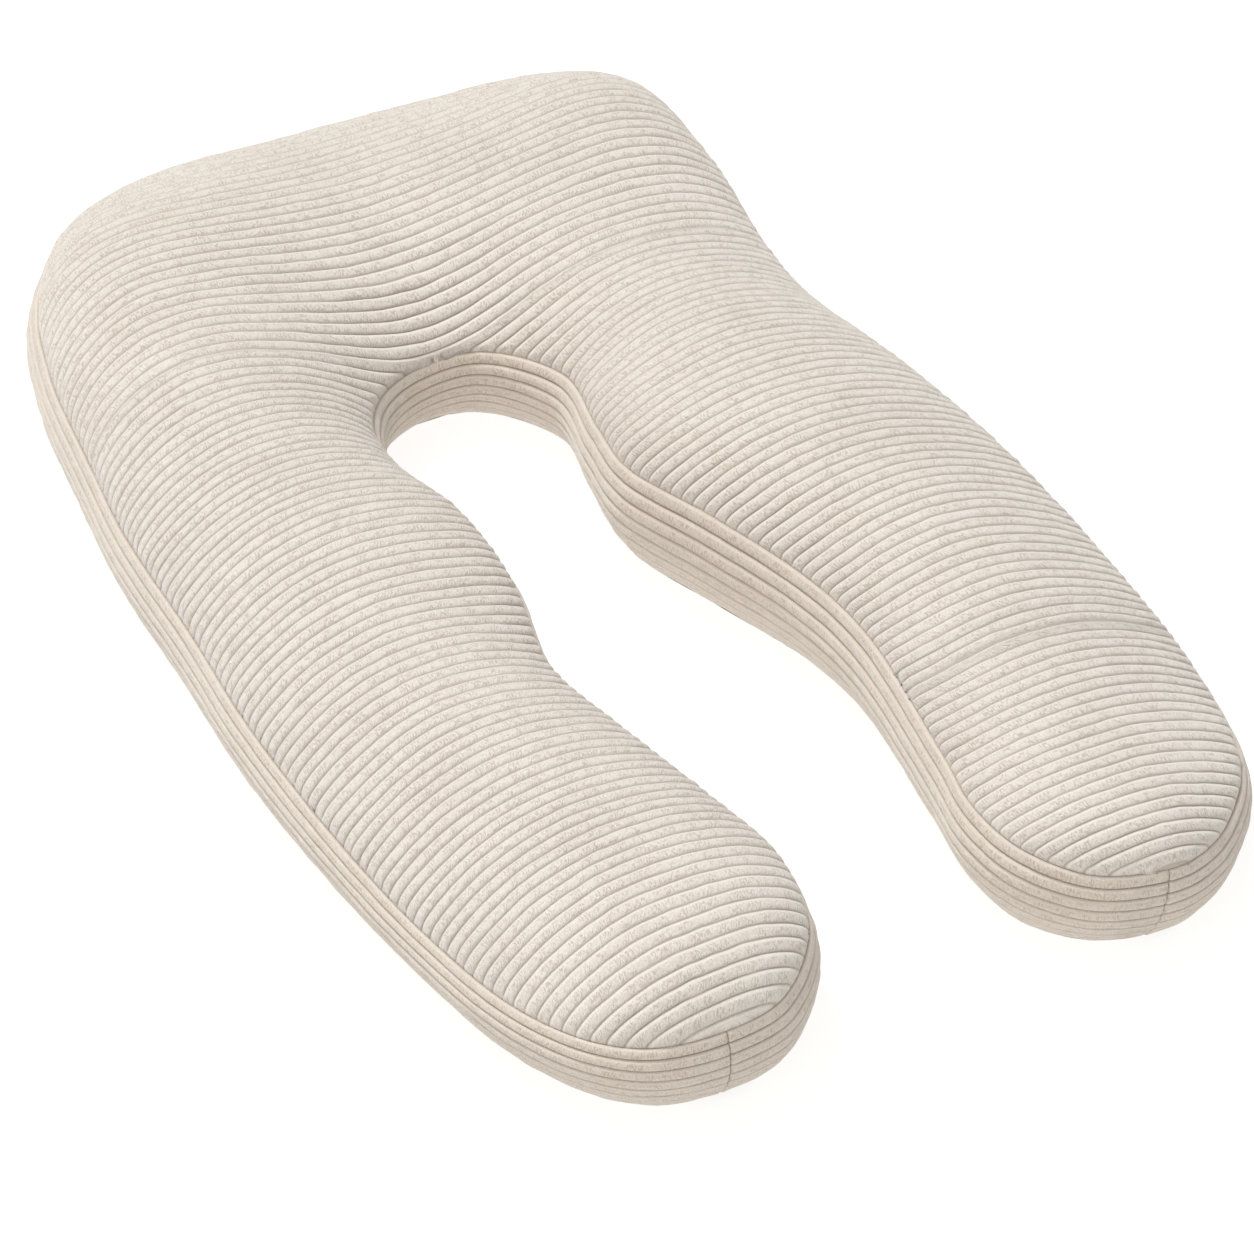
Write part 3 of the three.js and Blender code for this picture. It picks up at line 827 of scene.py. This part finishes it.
def close_ends(cloth, outline, right_leg, left_leg, head):
    """Closes the slivers at the leg ends and at the back, and returns the edge there."""
    edge = []
    for leg in (right_leg, left_leg):
        across = across_at(leg.rows[0]) - ROW_MARGIN / WALE_PITCH
        edge.extend(add_cap(cloth, outline, leg.stored[0], *leg.ends[0], across))
    last_row = head.stored[-1][::-1]
    last_wale_end = head.rows[-1][1] + 1.0
    edge.extend(add_cap(cloth, outline, last_row, *head.ends[-1][::-1], last_wale_end))
    return edge


def build_top_panel(material):
    cloth = Cloth()
    outline = SEAM_LINE
    arch = arch_point(outline, FINE_STEPS)
    right_leg = build_leg(cloth, outline, arch, 1)
    left_leg = build_leg(cloth, outline, arch, -1)
    head = build_head(cloth, outline, arch)
    areas = (right_leg, left_leg, head)
    edge = set(join_at_arch(cloth, outline, *areas))
    edge.update(close_ends(cloth, outline, *areas))
    for area in areas:
        for row in area.stored:
            edge.update((row[0], row[-1]))
    edge = np.array(sorted(edge), int)
    places = np.concatenate(cloth.points)[edge]
    lengths = np.array([outline.nearest_length(x, y) for x, y in places[:, :2]])
    order = np.argsort(lengths)
    add_tuck(cloth, outline, lengths[order], edge[order])
    return cloth.mesh("top_panel", material)


def band_stops(whole):
    """Stations along a length of band, with close ones at both joints."""
    even = np.linspace(0, whole, round(whole / BAND_STATION))[1:-1]
    near = np.array(JOINT_STOPS)
    return np.sort(np.concatenate([near, even, whole - near]))


def build_band(name, start, end, start_slant, end_slant, material):
    """One length of side band with its wales, its ends turned in at the joints."""
    whole = (end - start) % SEAM_LINE.whole
    stops = band_stops(whole)
    to_joint = np.minimum(stops, whole - stops)
    slants = np.where(stops < whole / 2, start_slant, end_slant)
    near_joint = smooth(1 - to_joint / SLANT_SPAN) * slants
    rounding = rounded(to_joint / JOINT_ROUND)
    cloth = Cloth()

    def row(share, depth, across):
        at, out = SEAM_LINE.station(start + stops + near_joint * share)
        points = section_points(at, out, share, depth)
        return cloth.add(points, stops / WALE_PITCH, np.full(len(stops), across))

    rows = [row(0.0, TUCK, 0.0)]
    places = [(wale, phase) for wale in range(BAND_WALES) for phase in WALE_ROWS]
    for wale, phase in [*places, (BAND_WALES, 0.0)]:
        height = wale_height(phase) * rounding
        swell = crest_swell(stops, wale, BAND_SWELL_SEED) * height
        valley = valley_depth(stops, wale + phase, BAND_RELIEF, BAND_VALLEY_SEED)
        depth = valley * (1 - height) + JOINT_DEPTH * (1 - rounding) - swell
        rows.append(row((wale + phase) / BAND_WALES, depth, wale + phase))
    rows.append(row(1.0, TUCK, float(BAND_WALES)))
    cloth.join_rows(rows, flipped=True)
    return cloth.mesh(name, material)


def foot_outline(steps):
    """Seam between the side band and the bottom panel."""
    top = Outline(closed_spline(KNOTS, steps))
    at, out = top.station(top.lengths[:-1])
    return Outline(section_points(at, out, 1.0, 0.0))


def bottom_points(coarse, fine, ends, row, count):
    """One row of the bottom panel, its points closer together near the seam."""
    y, _, phase = row
    left, right = ends
    t = np.linspace(0, 1, count)
    eased = lerp(t, (1 - np.cos(np.pi * t)) / 2, BOTTOM_CROWDING)
    x = lerp(left[0], right[0], eased)
    ys = np.full(count, y)
    distance = distance_to(coarse, fine, x, ys)
    distance[[0, -1]] = 0
    rise = FOOT_HEIGHT * (1 - smooth(distance / BOTTOM_EDGE)) ** 2
    tip = np.clip(distance / WALE_TIP, 0, 1)
    valley = BOTTOM_RELIEF * (1 - wale_height(phase) * tip) * smooth(distance / BOTTOM_TIP)
    return np.stack([x, ys, rise + valley], axis=1)


def build_bottom_panel(material):
    """Bottom panel, pressed flat, its wales running across as on the top."""
    coarse = foot_outline(COARSE_STEPS)
    fine = foot_outline(FINE_STEPS // 2)
    arch = arch_point(fine, FINE_STEPS // 2)
    cloth = Cloth()

    def add_bottom_rows(rows, ends, count):
        stored = []
        for row, row_ends in zip(rows, ends):
            points = bottom_points(coarse, fine, row_ends, row, count)
            across = np.full(count, across_at(row))
            stored.append(cloth.add(points, points[:, 0] / WALE_PITCH, across))
        cloth.join_rows(stored, flipped=True)
        return stored

    tops = {}
    for side in (1, -1):
        low = lowest_row(fine, arch, side)
        rows = wale_rows(low + ROW_MARGIN, arch[1], arch[1], BOTTOM_ROWS)
        ends = leg_ends(fine, rows, arch[0], side)
        tops[side] = add_bottom_rows(rows, ends, BOTTOM_COLUMNS + 1)[-1]
    high = fine.points[:, 1].max()
    rows = wale_rows(arch[1], high - ROW_MARGIN, arch[1], BOTTOM_ROWS)
    ends = []
    for y, _, _ in rows:
        found = fine.crossings(y)
        ends.append((found[0], found[-1]))
    first = add_bottom_rows(rows, ends, 2 * BOTTOM_COLUMNS + 1)[0]
    cloth.strip(first[: BOTTOM_COLUMNS + 1], tops[-1])
    cloth.strip(first[BOTTOM_COLUMNS:], tops[1])
    cloth.faces.append([tops[1][0], tops[-1][-1], first[BOTTOM_COLUMNS]])
    return cloth.mesh("bottom_panel", material)


def build_joint_stitches(name, length, slant, material):
    """Small stitches of thread across a joint of the side band."""
    curve = bpy.data.curves.new(name, "CURVE")
    curve.dimensions = "3D"
    curve.bevel_depth = THREAD_RADIUS * MILLIMETRE
    curve.bevel_resolution = 2
    for i in range(STITCHES):
        share = (i + STITCH_START) / (STITCHES + STITCH_MARGIN)
        ends = length + slant * share + np.array([-STITCH_REACH, 0, STITCH_REACH])
        at, out = SEAM_LINE.station(ends)
        shares = np.array([share - STITCH_LEAN, share, share + STITCH_LEAN])
        points = from_footprint(section_points(at, out, shares, np.array(STITCH_DEPTHS)))
        spline = curve.splines.new("BEZIER")
        spline.bezier_points.add(len(points) - 1)
        for knot, point in zip(spline.bezier_points, points):
            knot.co = point
            knot.handle_left_type = knot.handle_right_type = "AUTO"
    curve.materials.append(material)
    piece = bpy.data.objects.new(name, curve)
    bpy.context.scene.collection.objects.link(piece)
    return piece


class Nodes:
    """Short calls for building the node tree of a material or the world."""

    def __init__(self, owner, shader="Principled BSDF"):
        owner.use_nodes = True
        self.tree = owner.node_tree
        self.shader = self.tree.nodes[shader]

    def add(self, kind, **values):
        node = self.tree.nodes.new(kind)
        for key, value in values.items():
            setattr(node, key, value)
        return node

    def link(self, source, target):
        self.tree.links.new(source, target)

    def set(self, node, values):
        """Sets inputs of a node by their names."""
        for name, value in values.items():
            node.inputs[name].default_value = value

    def math(self, operation, a, b=0.0, clamp=False):
        node = self.add("ShaderNodeMath", operation=operation, use_clamp=clamp)
        for socket, value in zip(node.inputs, (a, b)):
            if isinstance(value, (int, float)):
                socket.default_value = value
            else:
                self.link(value, socket)
        return node.outputs[0]

    def ramp(self, value, limits, start=0.0, end=1.0, kind="SMOOTHSTEP"):
        """Step of a value between two limits, smooth or straight."""
        node = self.add("ShaderNodeMapRange", interpolation_type=kind)
        self.link(value, node.inputs["Value"])
        low, high = limits
        self.set(node, {"From Min": low, "From Max": high, "To Min": start, "To Max": end})
        return node.outputs["Result"]

    def noise(self, along, across, scale_along, scale_across, detail=1.0):
        """Noise in cloth coordinates, which count wales."""
        place = self.add("ShaderNodeCombineXYZ")
        self.link(self.math("MULTIPLY", along, scale_along), place.inputs[0])
        self.link(self.math("MULTIPLY", across, scale_across), place.inputs[1])
        node = self.add("ShaderNodeTexNoise", noise_dimensions="2D")
        self.link(place.outputs[0], node.inputs["Vector"])
        self.set(node, {"Scale": 1.0, "Detail": detail})
        return node.outputs["Fac"]

    def centred(self, value, strength):
        """A noise as a change to both sides of nothing."""
        return self.math("MULTIPLY", self.math("SUBTRACT", value, 0.5), strength)

    def mix(self, share, a, b):
        """Mixes a colour, or a node's output, with a second colour."""
        node = self.add("ShaderNodeMix", data_type="RGBA")
        if isinstance(a, tuple):
            node.inputs["A"].default_value = (*a, 1.0)
        else:
            self.link(a, node.inputs["A"])
        node.inputs["B"].default_value = (*b, 1.0)
        self.link(share, node.inputs["Factor"])
        return node.outputs["Result"]


def plush_shade(nodes, along, across, painted_highlight_edge):
    """Share of the shade colour, then the crest, fibres and grain that it is made from.

    The share holds the fibre marks, speckle and patches, and painted shade in the valleys
    and on each wale outside its painted highlight.
    """
    crest = nodes.math("PINGPONG", across, 0.5)
    fibres = nodes.noise(along, across, *FIBRES)
    grain = nodes.noise(along, across, *GRAIN)
    tufts = nodes.noise(along, across, *TUFTS)
    patches = nodes.noise(along, across, *PATCHES)

    # Painted highlight: a smooth bright edge without marks on the far, upper side of each wale
    from_painted_highlight = nodes.math("SUBTRACT", nodes.math("FRACT", across), painted_highlight_edge)
    painted_highlight = nodes.ramp(nodes.math("ABSOLUTE", from_painted_highlight), PAINTED_HIGHLIGHT_LIMITS, 1.0, 0.0)
    on_body = nodes.math("SUBTRACT", nodes.ramp(crest, BODY_LIMITS), painted_highlight, clamp=True)
    matted = nodes.ramp(tufts, TUFT_LIMITS, BETWEEN_TUFTS, 1.0)
    mark = nodes.math("MULTIPLY", nodes.ramp(fibres, MARK_LIMITS), on_body)
    marks = nodes.math("MULTIPLY", nodes.math("MULTIPLY", mark, matted), MARK_SHADE)
    # Painted shade: the cloth darker towards the middle of each valley
    valley = nodes.math("MULTIPLY", nodes.ramp(crest, PAINTED_VALLEY_SHADE_LIMITS, 1.0, 0.0), PAINTED_VALLEY_SHADE)
    # Painted shade over the body of each wale, outside its painted highlight
    body = nodes.math("MULTIPLY", nodes.math("SUBTRACT", 1.0, painted_highlight), PAINTED_BODY_SHADE)
    shade = nodes.math("ADD", nodes.math("ADD", marks, valley), body)
    speckle = nodes.centred(grain, SPECKLE_SHADE)
    patch = nodes.centred(patches, PATCH_SHADE)
    shade = nodes.math("ADD", shade, nodes.math("ADD", speckle, patch), clamp=True)
    return shade, crest, fibres, grain


def plush_corduroy(name, crest_color, marks_and_shade_color, painted_highlight_edge):
    """Cream plush corduroy: painted shade in the valleys, fibre marks, and a painted highlight
    as a smooth bright edge of each wale.
    """
    material = bpy.data.materials.new(name)
    nodes = Nodes(material)
    cloth = nodes.add("ShaderNodeUVMap", uv_map="cloth")
    split = nodes.add("ShaderNodeSeparateXYZ")
    nodes.link(cloth.outputs["UV"], split.inputs[0])
    along, across = split.outputs[0], split.outputs[1]
    shade, crest, fibres, grain = plush_shade(nodes, along, across, painted_highlight_edge)
    # Painted shade: a dark line along the middle of each valley
    line = nodes.ramp(crest, PAINTED_VALLEY_LINE_LIMITS, PAINTED_VALLEY_LINE_STRENGTH, 0.0)
    color = nodes.mix(line, nodes.mix(shade, crest_color, marks_and_shade_color), PAINTED_VALLEY_LINE_COLOR)
    nodes.link(color, nodes.shader.inputs["Base Color"])

    pile = nodes.math("SUBTRACT", nodes.math("MULTIPLY", grain, PILE_GRAIN), fibres)
    bump = nodes.add("ShaderNodeBump")
    nodes.set(bump, {"Strength": PILE_STRENGTH, "Distance": PILE_HEIGHT})
    nodes.link(pile, bump.inputs["Height"])
    nodes.link(bump.outputs["Normal"], nodes.shader.inputs["Normal"])
    nodes.set(nodes.shader, PLUSH_SURFACE)
    return material


def thread_material(name):
    """Twisted sewing thread."""
    material = bpy.data.materials.new(name)
    nodes = Nodes(material)
    place = nodes.add("ShaderNodeTexCoord")
    wave = nodes.add("ShaderNodeTexWave")
    nodes.set(wave, {"Scale": THREAD_TWIST})
    nodes.link(place.outputs["Object"], wave.inputs["Vector"])
    light = nodes.ramp(wave.outputs["Fac"], (0.0, 1.0), THREAD_DARK_SIDE, 1.0)
    tone = nodes.add("ShaderNodeVectorMath", operation="SCALE")
    tone.inputs[0].default_value = THREAD_COLOR
    nodes.link(light, tone.inputs["Scale"])
    nodes.link(tone.outputs[0], nodes.shader.inputs["Base Color"])
    nodes.set(nodes.shader, {"Roughness": THREAD_ROUGHNESS})
    return material


def floor_material():
    """Pale floor that glows a little, so that it turns out white."""
    material = bpy.data.materials.new("pale_floor")
    nodes = Nodes(material)
    nodes.set(nodes.shader, FLOOR_SURFACE)
    return material


def build_floor():
    """Plain pale floor just under the resting face."""
    mesh = bpy.data.meshes.new("floor")
    corners = [
        (side_x * FLOOR_HALF, side_y * FLOOR_HALF, -FLOOR_DROP)
        for side_x, side_y in ((-1, -1), (1, -1), (1, 1), (-1, 1))
    ]
    mesh.from_pydata(corners, [], [(0, 1, 2, 3)])
    mesh.materials.append(floor_material())
    floor = bpy.data.objects.new("floor", mesh)
    bpy.context.scene.collection.objects.link(floor)


def facing(right, up, back, place):
    """Matrix of an object with these directions at a place."""
    matrix = Matrix.Identity(4)
    for row in range(3):
        for column, value in enumerate((right[row], up[row], back[row], place[row])):
            matrix[row][column] = value
    return matrix


def camera_axes():
    """Right, up and backward directions of the camera."""
    a, e = CAMERA_AZIMUTH, CAMERA_ELEVATION
    back = np.array([math.sin(a) * math.cos(e), -math.cos(a) * math.cos(e), math.sin(e)])
    level = np.array([math.cos(a), math.sin(a), 0.0])
    above = np.cross(back, level)
    c, s = math.cos(CAMERA_ROLL), math.sin(CAMERA_ROLL)
    return c * level + s * above, c * above - s * level, back


def build_camera():
    right, up, back = camera_axes()
    place = (np.array(CAMERA_TARGET) + CAMERA_DISTANCE * back) * MILLIMETRE
    data = bpy.data.cameras.new("camera")
    data.sensor_width = SENSOR_WIDTH
    data.lens = FOCAL_PIXELS / PHOTO_SIZE * SENSOR_WIDTH
    data.clip_end = CAMERA_REACH
    camera = bpy.data.objects.new("camera", data)
    camera.matrix_world = facing(right, up, back, place)
    bpy.context.scene.collection.objects.link(camera)
    bpy.context.scene.camera = camera


def add_soft_sun(name, place, spread, strength):
    """Far soft light that shines from a place towards the middle of the pillow."""
    data = bpy.data.lights.new(name, "SUN")
    data.angle = math.radians(spread)
    data.energy = strength
    light = bpy.data.objects.new(name, data)
    back = np.array(place) / np.linalg.norm(place)
    level = np.cross((0.0, 0.0, 1.0), back)
    level /= np.linalg.norm(level)
    light.matrix_world = facing(level, np.cross(back, level), back, place)
    bpy.context.scene.collection.objects.link(light)


def build_light():
    """Studio sky, brighter overhead, a key light from behind and a fill from the left."""
    world = bpy.data.worlds.new("studio")
    nodes = Nodes(world, "Background")
    place = nodes.add("ShaderNodeTexCoord")
    split = nodes.add("ShaderNodeSeparateXYZ")
    nodes.link(place.outputs["Generated"], split.inputs[0])
    height = split.outputs["Z"]
    sky = nodes.ramp(height, (0.0, SKY_TOP_FROM), SKY_SIDE, SKY_TOP, kind="LINEAR")
    nodes.link(sky, nodes.shader.inputs["Strength"])
    nodes.set(nodes.shader, {"Color": SKY_COLOR})
    bpy.context.scene.world = world
    add_soft_sun("key", KEY_PLACE, KEY_SPREAD, KEY_STRENGTH)
    add_soft_sun("fill", FILL_PLACE, FILL_SPREAD, FILL_STRENGTH)
    bpy.context.scene.view_settings.view_transform = "Standard"


def dress(piece, slot, *nodes):
    """Puts a padded piece in the place of the CAD nodes it stands for."""
    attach(piece, "root")
    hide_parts(*nodes)


def build_pillow():
    panel_cloth = plush_corduroy("panel_cloth", CREST_COLOR, MARKS_AND_PAINTED_SHADE_COLOR, PANEL_PAINTED_HIGHLIGHT_EDGE)
    # The band takes darker colours than the panel: painted shade on the side band
    band_painted_shade_colors = (BAND_SHADED_CREST_COLOR, BAND_MARKS_AND_PAINTED_SHADE_COLOR)
    band_cloth = plush_corduroy("band_cloth", *band_painted_shade_colors, BAND_PAINTED_HIGHLIGHT_EDGE)
    thread = thread_material("joint_thread")
    right = SEAM_LINE.nearest_length(*JOINT_RIGHT)
    left = SEAM_LINE.nearest_length(*JOINT_LEFT)
    dress(build_top_panel(panel_cloth), "panel_cloth", "pillow_body")
    dress(build_bottom_panel(panel_cloth), "panel_cloth", "pillow_body")
    outer = build_band("side_band_outer", right, left, JOINT_SLANT, 0, band_cloth)
    inner = build_band("side_band_inner", left, right, 0, JOINT_SLANT, band_cloth)
    dress(outer, "band_cloth", "band_outer")
    dress(inner, "band_cloth", "band_inner")
    for name, length, slant in (
        ("joint_stitches_right", right, JOINT_SLANT),
        ("joint_stitches_left", left, 0),
    ):
        stitches = build_joint_stitches(name, length, slant, thread)
        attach(stitches, "root")


build_camera()
build_light()
build_floor()
build_pillow()
